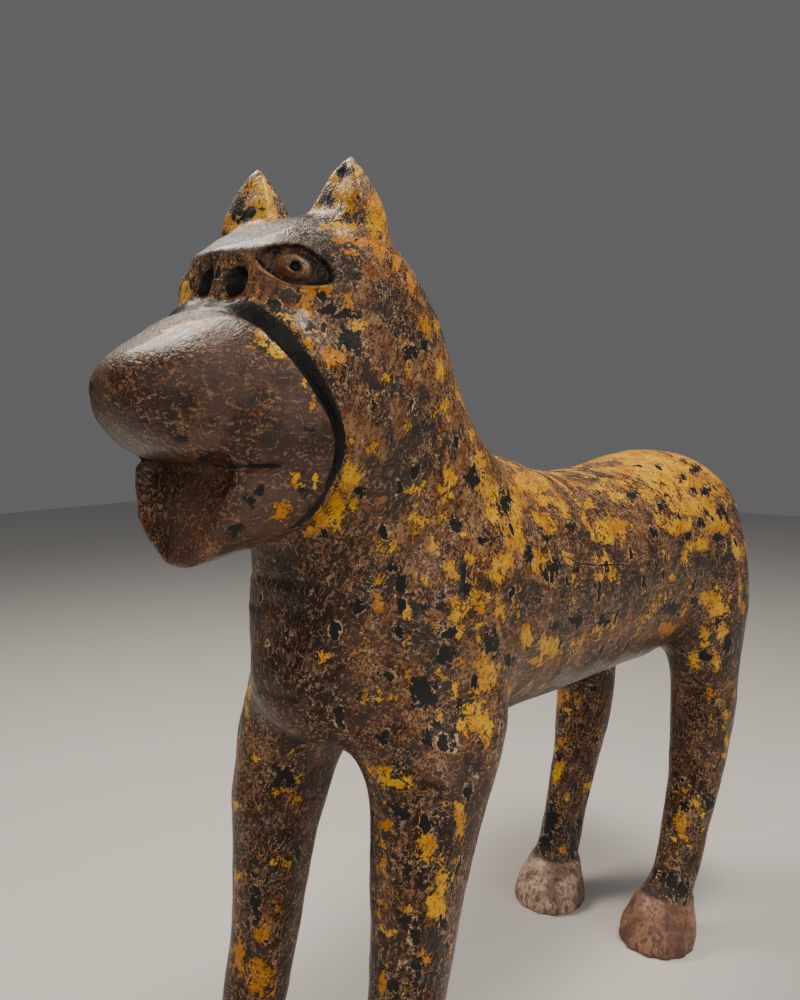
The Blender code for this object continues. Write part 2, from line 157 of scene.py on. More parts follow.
# A channel runs round the head behind the muzzle: z and y along its middle.
CHANNEL = shares(
    (670, -434), (688, -429), (707, -422), (722, -417), (740, -415), (757, -417), (774, -425),
    (793, -438), (812, -450), (830, -459), (849, -465), (880, -468),
)
CHANNEL_HALF = 0.0068
CHANNEL_DEPTH = 0.012
CHANNEL_TOP_Z = 0.856
CHANNEL_TOP_FADE = 0.010
CHANNEL_LOW_Z = 0.685
CHANNEL_LOW_FADE = 0.020
HEAD_AXIS_Z = 0.785

# Two hollows beside the bridge of the nose, under the brow, the bridge a little to the left.
BRIDGE_X = 0.0065
HOLLOW = (0.0170, -0.460, 0.884)
HOLLOW_REACH = (0.0095, 0.030, 0.0125)
HOLLOW_DEPTH = 0.019
BROW = (0.0, -0.452, 0.910)
BROW_REACH = (0.075, 0.030, 0.007)
BROW_RISE = 0.004

# The eye looks out sideways at EYE_TURN from straight ahead.
EYE = (0.068, -0.431, 0.8935)
EYE_TURN = math.radians(47)
EYE_TILT = math.radians(-16)
EYE_POINTEDNESS = 1.35
EYE_RECESS = (0.75, 1.05)
EYE_FADE = (0.030, 0.045)
EYE_HALF_LENGTH = 0.0320
EYE_UPPER_HEIGHT = 0.0185
EYE_LOWER_HEIGHT = 0.0140
EYE_DEPTH = 0.0085
LID_RISE = 0.0018
LID_MIDDLE = 1.22
LID_SPREAD = 0.16
LID_LEVEL = (-0.004, 0.006)
BALL_HALF_LENGTH = 0.0160
BALL_HALF_HEIGHT = 0.0116
BALL_RISE = 0.0110
IRIS_REACH = 0.0068
IRIS_HALF = 0.0012
IRIS_RISE = 0.0011
IRIS_WOBBLE = 0.11
PUPIL_REACH = 0.0040
PUPIL_DEPTH = 0.0060

# The front of each ear is scooped out between two sharp edges.
EAR_AXIS = (0.055, -0.352)
EAR_EDGE_TURN = math.radians(57)
EAR_EDGE_SPREAD = math.radians(14)
EAR_EDGE_RISE = 0.0030
EAR_SCOOP_SPREAD = math.radians(38)
EAR_SCOOP_DEPTH = 0.0035
EAR_REACH = (0.045, 0.055)
EAR_FOOT_FADE = (0.955, 0.938)
EAR_TIP_FADE = (0.980, 0.998)

# The lips part in a slit that runs back from the open front of the mouth.
MOUTH_Z = 0.739
MOUTH_HALF = 0.0030
MOUTH_DEPTH = 0.008
# Half the width of the painted shadow, a black line along the slit.
MOUTH_SHADOW_HALF = 0.0022

# The inside of the jaw is scooped out, with a rim left along its edges.
SCOOP_DEPTH = 0.004
SCOOP_RIM = 0.010
SCOOP_TOP_EXTRA = 0.011

# Faint steps across the chest: z at the middle, and how far each drops towards the sides.
CHEST_STEPS = (0.628, 0.600, 0.522)
CHEST_STEP_DROP = 0.12
CHEST_STEP_HALF = 0.006
CHEST_STEP_DEPTH = 0.0015

# Hooves: their tops stand proud of the ankles, and their sides are fluted.
HOOF_TOP_Z = 0.064
HOOF_STEP = 0.0022
FLUTES = 13
FLUTE_DEPTH = 0.0011
FORE_HOOF = (0.096, -0.360)
HIND_HOOF = (0.090, 0.283)
SPLIT_SCALE = 9.0
SPLIT_DEPTH = 0.0010

# How far regions of the carving and the paint reach: an axis, or "out" for the distance from the
# middle plane, then where the region is still whole and where it has faded out.
SPANS = {
    "slit": (("y", -0.468, -0.458), ("y", -0.500, -0.510), ("out", 0.06, 0.04)),
    "scoop": (("y", -0.480, -0.470), ("z", 0.738, 0.744), ("z", 0.672, 0.660), ("y", -0.515, -0.520)),
    "deep scoop": (("z", 0.735, 0.700),),
    "chest steps": (("y", -0.350, -0.300), ("out", 0.070, 0.110)),
    "head": (("z", 0.690, 0.660),),
    "muzzle": (("z", 0.868, 0.880),),
    "face": (("z", 0.880, 0.868), ("z", 0.905, 0.912)),
    "channel": (("z", 0.685, 0.665), ("z", 0.862, 0.872)),
    "jaw front": (("y", -0.494, -0.484), ("z", 0.735, 0.742)),
    "brow": (("z", 0.909, 0.903), ("y", -0.395, -0.360), ("z", 0.945, 0.950)),
    "ears": (("z", 0.950, 0.935), ("y", -0.322, -0.307), ("y", -0.382, -0.397)),
    "neck": (("z", 0.640, 0.600), ("y", -0.16, -0.10)),
    "chest": (("y", -0.372, -0.345), ("z", 0.655, 0.700), ("z", 0.470, 0.440), ("x", 0.05, 0.08)),
    "legs": (("z", 0.400, 0.480),),
    "hooves": (("z", 0.061, 0.065),),
    "pink": (("x", 0, -0.01),),
    "ankles": (("z", 0.085, 0.150),),
    "under": (("z", 0.450, 0.500), ("z", 0.41, 0.36), ("y", 0.37, 0.49), ("y", -0.23, -0.35)),
    "flank": (("y", -0.10, -0.17), ("y", 0.28, 0.36)),
    "back": (("z", 0.700, 0.640), ("y", -0.10, -0.20)),
    "rump": (("z", 0.640, 0.560), ("y", 0.30, 0.15)),
}
FLANK_Z = 0.565
FLANK_SPREAD = 0.030
AHEAD_OF_CHANNEL = (-0.008, -0.002)

# Marks of the adze: how wide they are and how far they stand in and out.
ADZE_MARKS = ((0.050, 0.0016), (0.020, 0.0007))

# Where the mesh is refined before the carving, and once more for the eyes: x, y, z and reach, on
# both sides. Round the channel it is refined this far from the channel's middle.
FINE_PLACES = (
    (0.068, -0.431, 0.894, 0.046),
    (0.020, -0.465, 0.885, 0.040),
    (0.055, -0.355, 0.965, 0.052),
    (0.085, -0.482, 0.739, 0.030),
)
FINEST_PLACES = ((0.068, -0.431, 0.894, 0.038),)
FINE_CHANNEL_HALF = 0.014

# Colours of the paint and the wood, red, green and blue.
BODY_BROWN = (0.040, 0.023, 0.017)
BLACK = (0.010, 0.009, 0.009)
SMOOTH_BROWN = (0.028, 0.021, 0.018)
# Mauve stands partly for paint and partly for a painted grey sheen of the varnish.
MAUVE_AND_SHEEN = (0.096, 0.052, 0.042)
RUST = (0.185, 0.056, 0.010)
TAN = (0.300, 0.150, 0.056)
SCRATCH_TAN = (0.260, 0.165, 0.110)
BEIGE = (0.560, 0.370, 0.215)
OCHRE_LIGHT = (0.700, 0.360, 0.002)
OCHRE_DEEP = (0.480, 0.185, 0.002)
ORANGE = (0.460, 0.150, 0.003)
FRECKLE_BROWN = (0.120, 0.045, 0.010)
HOOF_STREAK = (0.085, 0.048, 0.034)

# The ground under the patches and spots: regions and their colours, each laid over those before.
GROUND = (
    ("neck", (0.034, 0.021, 0.016)),
    ("back", (0.062, 0.034, 0.024)),
    ("flank", (0.038, 0.030, 0.025)),
    ("chest", (0.038, 0.021, 0.015)),
    ("legs", (0.028, 0.015, 0.010)),
    ("under", (0.034, 0.022, 0.016)),
    ("ankles", (0.024, 0.019, 0.017)),
    ("muzzle", (0.062, 0.036, 0.028)),
    ("face", (0.048, 0.026, 0.018)),
    # The brow's smooth paint is made greyer and lighter, partly a painted sheen of the varnish on the
    # forehead.
    ("brow", (0.080, 0.065, 0.056)),
    ("jaw", (0.052, 0.024, 0.018)),
    ("hooves", (0.440, 0.315, 0.240)),
    ("pink", (0.230, 0.125, 0.090)),
    # Painted shade: the recess round each eyeball is near black, for the shade that falls in it.
    ("recess", (0.009, 0.006, 0.005)),
    ("ball", (0.070, 0.046, 0.031)),
    # Painted highlight: a pale tan line along the ridge of each lower lid, where the light catches it.
    ("lid", TAN),
)

# How much yellow paint and how many small flakes lie on a plain body, and how much more or less
# of them lie in each region.
YELLOW = 0.30
YELLOW_BY_REGION = {
    "back": 0.25, "rump": 0.30, "flank": -0.30, "neck": -0.10, "chest": -0.40, "legs": -0.12,
    "under": -0.30, "ankles": -0.40,
}
YELLOW_ON_EARS = 0.55
CRUMBS = 0.70
CRUMBS_BY_REGION = {
    "neck": 0.20, "chest": -0.65, "flank": -0.35, "under": -0.45, "ankles": -0.35, "legs": -0.25,
}
CRUMBS_ON_PLAIN_PARTS = {"muzzle": 0.20, "face": 0.60, "jaw": 0.15, "ball": 0.7, "lid": 0.6}
PLAIN_PARTS = ("muzzle", "face", "jaw", "hooves", "channel", "brow", "ball", "recess", "lid", "hollow")

# Marks of paint, in thousandths of the height: x, y, z, half width and half height as they look
# from the camera. Marks on the left flank, neck and legs come again on the right, moved a little.
BLACK_MARKS = (
    (-21, -558, 798, 4, 5), (32, -547, 774, 3, 2), (47, -528, 761, 5, 3), (44, -504, 746, 4, 2),
    (56, -486, 691, 6, 5), (69, -485, 713, 5, 5), (75, -478, 721, 4, 5), (104, -453, 767, 5, 5),
    (89, -446, 718, 6, 4), (87, -414, 861, 8, 6), (99, -401, 836, 10, 10), (94, -400, 857, 11, 6),
    (95, -390, 888, 4, 5), (108, -384, 786, 3, 3), (50, -383, 675, 5, 5), (-59, -376, 964, 8, 13),
    (83, -372, 713, 7, 5), (45, -371, 961, 6, 11), (108, -368, 795, 3, 3), (58, -363, 981, 8, 7),
    (70, -361, 610, 6, 6), (106, -356, 269, 6, 12), (-79, -353, 277, 5, 28), (117, -349, 332, 6, 6),
    (115, -349, 379, 4, 9), (106, -347, 425, 8, 8), (88, -347, 492, 7, 6), (122, -346, 317, 4, 13),
    (124, -344, 289, 6, 8), (88, -344, 547, 11, 5), (125, -343, 366, 5, 6), (128, -340, 381, 5, 6),
    (96, -337, 590, 5, 7), (89, -335, 642, 5, 5), (107, -335, 830, 6, 8), (-57, -333, 412, 13, 13),
    (96, -332, 628, 6, 8), (133, -329, 417, 7, 12), (119, -325, 493, 6, 8), (136, -323, 325, 4, 8),
    (110, -319, 528, 14, 14), (110, -319, 606, 3, 6), (106, -313, 837, 4, 6), (119, -305, 611, 5, 9),
    (119, -299, 561, 8, 10), (144, -296, 439, 5, 7), (127, -287, 513, 4, 6), (127, -278, 621, 6, 7),
    (111, -273, 675, 5, 9), (107, -268, 753, 4, 5), (122, -244, 660, 5, 4), (131, -242, 564, 9, 14),
    (109, -242, 718, 8, 13), (127, -203, 537, 6, 7), (109, -185, 690, 7, 15), (128, -170, 638, 6, 10),
    (122, -125, 649, 5, 5), (128, -119, 618, 7, 11), (128, -115, 554, 6, 6), (126, -66, 607, 5, 4),
    (126, -61, 550, 8, 8), (113, -54, 653, 7, 6), (122, 19, 533, 8, 6), (84, 167, 669, 10, 8),
    (122, 213, 515, 15, 10), (102, 217, 650, 8, 9), (123, 265, 607, 6, 10), (-104, 288, 81, 11, 19),
    (106, 295, 90, 8, 28), (123, 296, 511, 7, 9), (121, 297, 82, 8, 22), (-105, 307, 117, 10, 28),
    (123, 317, 620, 7, 7), (87, 330, 682, 6, 6), (-66, 332, 112, 7, 12), (105, 337, 188, 9, 9),
    (122, 347, 420, 11, 10), (137, 356, 473, 6, 9), (134, 360, 195, 10, 13), (130, 365, 595, 8, 7),
    (107, 368, 661, 9, 8), (146, 374, 436, 7, 14), (122, 395, 632, 9, 10), (82, 396, 691, 9, 9),
)
YELLOW_MARKS = (
    (15, -513, 841, 7, 2), (76, -487, 829, 2, 4), (77, -477, 836, 6, 6), (90, -471, 825, 8, 5),
    (35, -464, 861, 2, 3), (77, -458, 704, 8, 8), (103, -457, 802, 2, 5), (-37, -457, 879, 5, 11),
    (89, -453, 728, 6, 6), (105, -453, 789, 3, 7), (97, -441, 731, 3, 4), (94, -438, 721, 2, 3),
    (91, -396, 725, 6, 16), (41, -388, 677, 6, 5), (53, -388, 688, 7, 11), (91, -388, 726, 6, 10),
    (69, -387, 699, 7, 17), (75, -386, 930, 17, 4), (-62, -380, 946, 10, 5), (-35, -376, 954, 12, 16),
    (66, -373, 956, 13, 15), (74, -371, 700, 4, 6), (107, -367, 808, 5, 5), (85, -354, 944, 9, 21),
    (116, -350, 343, 6, 5), (82, -345, 634, 5, 6), (92, -341, 526, 4, 4), (128, -340, 298, 6, 6),
    (128, -337, 402, 8, 17), (106, -337, 767, 4, 4), (101, -331, 604, 5, 6), (134, -330, 345, 9, 17),
    (137, -326, 367, 6, 12), (98, -322, 688, 4, 5), (121, -310, 509, 4, 6), (142, -307, 419, 5, 18),
    (115, -305, 547, 4, 3), (126, -290, 602, 9, 10), (107, -290, 685, 4, 4), (123, -288, 528, 4, 6),
    (126, -288, 583, 7, 8), (104, -288, 819, 4, 14), (108, -287, 700, 4, 3), (99, -287, 856, 4, 6),
    (106, -284, 786, 4, 6), (109, -278, 722, 6, 10), (138, -271, 492, 4, 8), (124, -267, 647, 4, 7),
    (116, -266, 667, 4, 4), (131, -262, 572, 3, 6), (127, -243, 533, 11, 17), (132, -235, 625, 6, 7),
    (106, -227, 732, 7, 10), (130, -219, 637, 12, 10), (108, -214, 705, 9, 14), (113, -207, 683, 11, 16),
    (123, -192, 658, 11, 16), (132, -179, 558, 6, 16), (106, -165, 691, 12, 21), (129, -156, 630, 6, 14),
    (129, -143, 628, 3, 7), (121, -141, 521, 8, 5), (113, -135, 673, 6, 4), (88, -122, 705, 8, 12),
    (124, -117, 532, 13, 14), (115, -114, 664, 10, 6), (117, -110, 659, 8, 9), (102, -98, 684, 11, 6),
    (90, -90, 698, 14, 7), (116, 28, 629, 11, 5), (92, 29, 669, 7, 7), (108, 61, 640, 24, 11),
    (70, 94, 682, 9, 6), (126, 206, 558, 6, 6), (87, 207, 668, 14, 8), (117, 244, 623, 20, 13),
    (126, 249, 579, 6, 13), (112, 299, 644, 37, 13), (128, 306, 592, 13, 10), (105, 326, 164, 10, 23),
    (124, 341, 454, 7, 19), (117, 342, 195, 8, 8), (110, 345, 409, 9, 16), (135, 353, 494, 13, 27),
    (93, 355, 678, 22, 14), (135, 360, 410, 6, 19), (125, 363, 362, 7, 10), (141, 363, 457, 9, 14),
    (127, 363, 612, 23, 13), (110, 385, 659, 14, 13), (144, 388, 325, 7, 8),
)
ORANGE_MARKS = (
    (26, -498, 847, 9, 3), (16, -465, 864, 8, 4), (78, -429, 863, 7, 11), (83, -425, 876, 14, 6),
    (101, -421, 823, 10, 8), (95, -399, 867, 6, 7), (82, -391, 919, 10, 5), (88, -389, 909, 5, 4),
    (88, -370, 919, 16, 4), (-94, -363, 219, 6, 27), (92, -358, 912, 7, 8), (-71, -357, 204, 14, 19),
    (94, -357, 268, 4, 10), (89, -352, 377, 4, 13), (-71, -351, 248, 10, 12), (92, -349, 412, 7, 6),
    (82, -349, 613, 5, 9), (93, -335, 906, 4, 9), (95, -319, 891, 4, 12), (105, -312, 854, 6, 9),
    (111, 232, 482, 14, 10), (-74, 292, 79, 7, 7), (-111, 351, 233, 7, 8), (-125, 367, 296, 7, 21),
)
SMOOTH_MARKS = (
    (18, -558, 787, 11, 5), (-39, -515, 750, 8, 6), (86, -490, 788, 10, 7), (96, -472, 804, 9, 10),
    (91, -470, 759, 14, 11), (65, -443, 872, 7, 5), (77, -410, 894, 7, 6), (98, -376, 738, 8, 5),
    (101, -366, 879, 11, 8), (104, -361, 865, 18, 13), (-34, -358, 969, 5, 13), (99, -347, 453, 19, 19),
    (106, -347, 848, 11, 8), (133, -331, 312, 11, 12), (108, -323, 793, 6, 13), (104, -316, 732, 10, 16),
    (128, -308, 494, 16, 9), (132, -259, 608, 10, 4), (134, -186, 595, 21, 20), (121, -148, 658, 12, 7),
    (108, -68, 668, 12, 7), (126, -42, 585, 14, 8), (115, -30, 640, 13, 5), (125, 66, 570, 44, 12),
    (43, 115, 694, 29, 6), (129, 294, 569, 13, 18), (135, 388, 559, 16, 40),
)
# Mauve marks: partly paint, partly a painted grey sheen of the varnish.
MAUVE_AND_SHEEN_MARKS = (
    (56, -518, 760, 19, 9), (70, -516, 789, 22, 15), (64, -421, 908, 17, 3), (76, -360, 967, 4, 16),
    (-42, -357, 984, 4, 8), (78, -353, 535, 8, 6), (126, -330, 460, 8, 6), (136, -316, 456, 8, 6),
    (107, -311, 646, 12, 17), (124, -275, 535, 8, 5), (116, -239, 675, 11, 11), (134, -218, 579, 8, 5),
    (121, -190, 517, 8, 11), (121, -11, 616, 10, 7), (106, 190, 641, 12, 8), (122, 213, 602, 14, 12),
    (65, 257, 690, 22, 8), (57, 357, 704, 17, 6),
)
MARK_UNIT = 0.001

# A mark reaches this far away from the camera and towards it, and one with an x above this comes
# again on the right.
MARK_REACH = 0.040
REPEATED_FROM = 0.095
REPEAT_SHIFT = (0.027, 0.012)

# A drying crack along the left flank: y and z. Past its ends it thins out this fast.
CRACK = ((-0.087, 0.625), (-0.054, 0.612), (-0.002, 0.603), (0.044, 0.598), (0.081, 0.590))
CRACK_HALF = 0.0011
CRACK_TAPER = 6

# How far the scratches on the neck and legs lean back.
SLANT = math.radians(28)

# The camera stands where the photograph was taken from, counted in shares of the height.
CAMERA = (0.5818, -0.9381, 0.7831)
CAMERA_TURN = math.radians(38.843)
CAMERA_DIP = math.radians(5.8625)
LENS = 32.256
SENSOR = 36.0

# The studio, in metres and watts. Lamps: name, place, target, size, power and colour.
LAMPS = (
    ("key", (-1.4, -0.1, 2.5), (0, -0.3, 0.8), 0.8, 48, (1.0, 0.90, 0.77)),
    ("front", (0.9, -2.6, 1.9), (0, -0.2, 0.7), 2.4, 30, (1.0, 0.94, 0.86)),
    ("top", (0.5, 0.5, 2.8), (0, 0.1, 0.7), 0.8, 54, (1.0, 0.90, 0.77)),
    ("fill", (2.4, -0.2, 1.2), (0, 0, 0.5), 2.2, 22, (1.0, 0.96, 0.90)),
)
FLOOR_HALF = 6.0
FLOOR_COLOUR = (0.60, 0.585, 0.565)


def sized(values):
    """Shares of the figure's height as metres."""
    return np.asarray(values, float) * HEIGHT


def smooth_rows(rows):
    """Rows read from a smooth curve through the given rows."""
    rows = np.asarray(rows, float)
    padded = np.vstack((2 * rows[0] - rows[1], rows, 2 * rows[-1] - rows[-2]))
    found = []
    for i in range(1, len(rows)):
        a, b, c, d = padded[i - 1 : i + 3]
        for step in range(STEPS_BETWEEN_ROWS):
            t = step / STEPS_BETWEEN_ROWS
            bend = t * (2 * a - 5 * b + 4 * c - d + t * (3 * (b - c) + d - a))
            found.append(b + 0.5 * t * (c - a + bend))
    found.append(rows[-1])
    return np.array(found)


def section(above, below):
    """Cosines and sines around a section: 2 gives an ellipse and more a squarer one."""
    turn = np.linspace(0, 2 * math.pi, RING_SIDES, endpoint=False)
    power = 2 / np.where(turn < math.pi, above, below)
    across = np.sign(np.cos(turn)) * np.abs(np.cos(turn)) ** power
    along = np.sign(np.sin(turn)) * np.abs(np.sin(turn)) ** power
    return across, along


def upright_rings(rows, above=SQUARENESS, below=SQUARENESS):
    """Sections across y from rows of y, lower z, upper z and half width."""
    across, along = section(above, below)
    rings = []
    for y, low, high, half in smooth_rows(rows):
        z = (low + high) / 2 + (high - low) / 2 * along
        rings.append(np.stack((half * across, np.full(RING_SIDES, y), z), axis=1))
    return rings


def level_rings(rows, side=1, squareness=SQUARENESS):
    """Sections across z from rows of z, x, front y, back y and half width."""
    across, along = section(squareness, squareness)
    rings = []
    for z, x, front, back, half in smooth_rows(rows):
        y = (front + back) / 2 + (back - front) / 2 * along
        rings.append(np.stack((side * (x + half * across), y, np.full(RING_SIDES, z)), axis=1))
    return rings


def on_middle(rows):
    """Level rows of the middle plane, with their x of 0 filled in."""
    return [(z, 0, front, back, half) for z, front, back, half in rows]


def add_shell(bm, rings):
    """A closed shell through the rings, with flat ends."""
    loops = [[bm.verts.new(point) for point in sized(ring)] for ring in rings]
    faces = [bm.faces.new(loops[0]), bm.faces.new(loops[-1])]
    for near, far in zip(loops, loops[1:]):
        for i in range(RING_SIDES):
            j = (i + 1) % RING_SIDES
            faces.append(bm.faces.new((near[i], near[j], far[j], far[i])))
    bmesh.ops.recalc_face_normals(bm, faces=faces)


def add_hull(bm, points):
    """The faceted shape stretched over some points."""
    verts = [bm.verts.new(point) for point in sized(points)]
    made = bmesh.ops.convex_hull(bm, input=verts, use_existing_faces=False)
    bmesh.ops.recalc_face_normals(bm, faces=[f for f in made["geom"] if isinstance(f, bmesh.types.BMFace)])
    unused = [v for v in verts if v.is_valid and not v.link_faces]
    bmesh.ops.delete(bm, geom=unused, context="VERTS")


def rough_block():
    """The trunk, neck, head, legs, ears and tail as overlapping shells in one mesh."""
    bm = bmesh.new()
    add_shell(bm, upright_rings(TRUNK))
    add_shell(bm, level_rings(on_middle(NECK)))
    add_shell(bm, upright_rings(HEAD))
    add_shell(bm, upright_rings(MUZZLE, below=LIP_SQUARENESS))
    add_shell(bm, level_rings(on_middle(TAIL)))
    add_hull(bm, [(side * x, y, z) for x, y, z in JAW for side in (1, -1)])
    for side in (1, -1):
        for rows in (FORELEG, HIND_LEG):
            add_shell(bm, level_rings(rows, side))
    add_shell(bm, level_rings(EAR, 1, EAR_SQUARENESS))
    add_shell(bm, [ring + RIGHT_EAR_SHIFT for ring in level_rings(EAR, -1, EAR_SQUARENESS)])
    mesh = bpy.data.meshes.new("rough block")
    bm.to_mesh(mesh)
    bm.free()
    return mesh


def placed(name, data):
    """A new object in the scene, made of a mesh, a lamp or a camera."""
    made = bpy.data.objects.new(name, data)
    bpy.context.scene.collection.objects.link(made)
    return made


def after_modifier(mesh, kind, **settings):
    """The mesh that one modifier makes of another mesh."""
    holder = placed("holder", mesh)
    modifier = holder.modifiers.new(kind.title(), kind)
    for name, value in settings.items():
        setattr(modifier, name, value)
    bpy.context.view_layer.update()
    depsgraph = bpy.context.evaluated_depsgraph_get()
    made = bpy.data.meshes.new_from_object(holder.evaluated_get(depsgraph))
    bpy.data.objects.remove(holder, do_unlink=True)
    return made


def numbers(collection, name, width, kind=np.float64):
    """One property of every item of a mesh collection, as an array."""
    values = np.empty(len(collection) * width, kind)
    collection.foreach_get(name, values)
    return values.reshape(-1, width) if width > 1 else values


def smoothed(points, edges, rounds, amount):
    """Points moved towards the middle of their neighbours, by an amount for each point."""
    count = len(points)
    first, second = edges[:, 0], edges[:, 1]
    neighbours = np.bincount(first, minlength=count) + np.bincount(second, minlength=count)
    for _ in range(rounds):
        total = np.stack(
            [
                np.bincount(first, points[second, k], count) + np.bincount(second, points[first, k], count)
                for k in range(3)
            ],
            axis=1,
        )
        points = points + amount[:, None] * (total / neighbours[:, None] - points)
    return points


def fade(distance, start, end):
    """1 up to the start and 0 from the end on, whichever is higher, and smooth between them."""
    t = np.clip((distance - start) / (end - start), 0, 1)
    return 1 - t * t * (3 - 2 * t)


def within(points, name):
    """How far each point belongs to a region of SPANS, from 0 to 1."""
    x, y, z = points.T
    axes = {"x": x, "y": y, "z": z, "out": np.abs(x)}
    share = np.ones(len(points))
    for axis, start, end in SPANS[name]:
        share = share * fade(axes[axis], start, end)
    return share


def blend_joins(points, edges):
    """Smooths the creases where the neck, trunk and legs meet."""
    for y, z, reach, rounds in BLENDS:
        far = np.hypot(points[:, 1] - y, points[:, 2] - z)
        points = smoothed(points, edges, rounds, 0.5 * fade(far, reach * 0.6, reach))
    return smoothed(points, edges, EVEN_ROUNDS, np.full(len(points), 0.5))


def bump(offset):
    """A soft hill of height 1 over an offset counted in reaches."""
    return np.exp(-(offset**2))


def channel_offset(points):
    """How far behind the middle of the channel each point lies."""
    return points[:, 1] - np.interp(points[:, 2], *zip(*CHANNEL))


def channel_strength(points):
    """1 along the channel's run, fading out at its two ends."""
    z = points[:, 2]
    upper = fade(z, CHANNEL_TOP_Z, CHANNEL_TOP_Z + CHANNEL_TOP_FADE)
    return upper * fade(z, CHANNEL_LOW_Z, CHANNEL_LOW_Z - CHANNEL_LOW_FADE)


def cut_channel(points):
    """The channel behind the muzzle, cut towards the middle of the head."""
    x, _, z = points.T
    depth = CHANNEL_DEPTH * bump(channel_offset(points) / CHANNEL_HALF) * channel_strength(points)
    inward = np.stack((-x, np.zeros_like(x), HEAD_AXIS_Z - z), axis=1)
    inward /= np.linalg.norm(inward, axis=1, keepdims=True) + 1e-9
    return points + inward * depth[:, None]


def hollow_strength(points):
    """1 in the middle of the hollows beside the bridge of the nose."""
    x, y, z = points.T
    hollow = bump((np.abs(x - BRIDGE_X) - HOLLOW[0]) / HOLLOW_REACH[0])
    return hollow * bump((y - HOLLOW[1]) / HOLLOW_REACH[1]) * bump((z - HOLLOW[2]) / HOLLOW_REACH[2])


def shape_brow(points):
    """Hollows beside the bridge of the nose, and the brow that stands over them."""
    x, y, z = points.T
    brow = bump((x - BROW[0]) / BROW_REACH[0]) * bump((y - BROW[1]) / BROW_REACH[1])
    brow = brow * bump((z - BROW[2]) / BROW_REACH[2])
    moved = points.copy()
    moved[:, 1] += HOLLOW_DEPTH * hollow_strength(points) - BROW_RISE * brow
    return moved


def eye_place(points, side):
    """Distances along, above and out of one eye, and the direction that it looks in."""
    outward = np.array((side * math.sin(EYE_TURN), -math.cos(EYE_TURN), 0.0))
    backward = np.array((side * math.cos(EYE_TURN), math.sin(EYE_TURN), 0.0))
    offset = points - np.array((side * EYE[0], EYE[1], EYE[2]))
    level, rise = offset @ backward, offset[:, 2]
    along = level * math.cos(EYE_TILT) + rise * math.sin(EYE_TILT)
    above = rise * math.cos(EYE_TILT) - level * math.sin(EYE_TILT)
    return along, above, offset @ outward, outward


def eye_almond(along, above):
    """How far out each point lies in the almond of the eye, 1 on its outline."""
    height = np.where(above > 0, EYE_UPPER_HEIGHT, EYE_LOWER_HEIGHT)
    return np.abs(along / EYE_HALF_LENGTH) ** EYE_POINTEDNESS + (above / height) ** 2


def carve_eye(points, side):
    """An almond recess with raised lids, and a bulging eyeball with an iris ring and a pupil."""
    along, above, out, outward = eye_place(points, side)
    near = fade(np.abs(out), *EYE_FADE)
    almond = eye_almond(along, above)
    ball = np.hypot(along / BALL_HALF_LENGTH, above / BALL_HALF_HEIGHT)
    turn = np.arctan2(above, along)
    centre = np.hypot(along, above) * (1 + IRIS_WOBBLE * (np.sin(3 * turn) + 0.7 * np.sin(5 * turn)))
    height = -EYE_DEPTH * fade(almond, *EYE_RECESS)
    start, end = EYE_RECESS
    ends = fade(np.abs(along), EYE_HALF_LENGTH * start, EYE_HALF_LENGTH * end)
    lid = bump((almond - LID_MIDDLE) / LID_SPREAD) * fade(above, *LID_LEVEL)
    height = height + LID_RISE * ends * lid
    height = height + BALL_RISE * np.sqrt(np.clip(1 - ball**2, 0, None))
    height = height + IRIS_RISE * bump((centre - IRIS_REACH) / IRIS_HALF)
    height = height - PUPIL_DEPTH * fade(centre, PUPIL_REACH * 0.6, PUPIL_REACH * 1.2)
    return points + outward * (height * near)[:, None]


def edge_ears(points):
    """The scooped fronts of the ears, and the sharp edges on both sides of them."""
    moved = points.copy()
    for side in (1, -1):
        dx, dy = side * points[:, 0] - EAR_AXIS[0], points[:, 1] - EAR_AXIS[1]
        away = np.hypot(dx, dy) + 1e-9
        turn = np.arctan2(dx, -dy)
        own = fade(away, *EAR_REACH) * fade(points[:, 2], *EAR_FOOT_FADE) * fade(points[:, 2], *EAR_TIP_FADE)
        height = EAR_EDGE_RISE * bump((np.abs(turn) - EAR_EDGE_TURN) / EAR_EDGE_SPREAD)
        height = (height - EAR_SCOOP_DEPTH * bump(turn / EAR_SCOOP_SPREAD)) * own
        moved[:, 0] += side * height * dx / away
        moved[:, 1] += height * dy / away
    return moved


def mouth_strength(points, half):
    """1 along the slit between the lips at each side."""
    return bump((points[:, 2] - MOUTH_Z) / half) * within(points, "slit")


def cut_mouth(points):
    """The slit between the lips at each side."""
    depth = MOUTH_DEPTH * mouth_strength(points, MOUTH_HALF)
    inward = np.stack((-np.sign(points[:, 0]), np.zeros(len(points)), np.zeros(len(points))), axis=1)
    return points + inward * depth[:, None]


def jaw_half_width(z):
    """Half the width of the jaw's open face at a height."""
    corners = sorted((corner[2], corner[0]) for corner in JAW[:6])
    return np.interp(z, [corner[0] for corner in corners], [corner[1] for corner in corners])


def scoop_strength(points):
    """1 inside the hanging jaw and 0 on its rim."""
    inside = jaw_half_width(points[:, 2]) - SCOOP_RIM - np.abs(points[:, 0])
    return fade(inside, SCOOP_RIM, 0) * within(points, "scoop")


def scoop_jaw(points):
    """The inside of the hanging jaw, scooped out behind its rim."""
    depth = SCOOP_DEPTH + SCOOP_TOP_EXTRA * within(points, "deep scoop")
    moved = points.copy()
    moved[:, 1] += scoop_strength(points) * depth
    return moved


def step_chest(points):
    """Faint steps across the front of the chest."""
    x, _, z = points.T
    front = within(points, "chest steps")
    moved = points.copy()
    for middle in CHEST_STEPS:
        off = (z - middle + CHEST_STEP_DROP * np.abs(x)) / CHEST_STEP_HALF
        moved[:, 1] += CHEST_STEP_DEPTH * front * np.where(off > 0, bump(off), -0.5 * bump(off))
    return moved


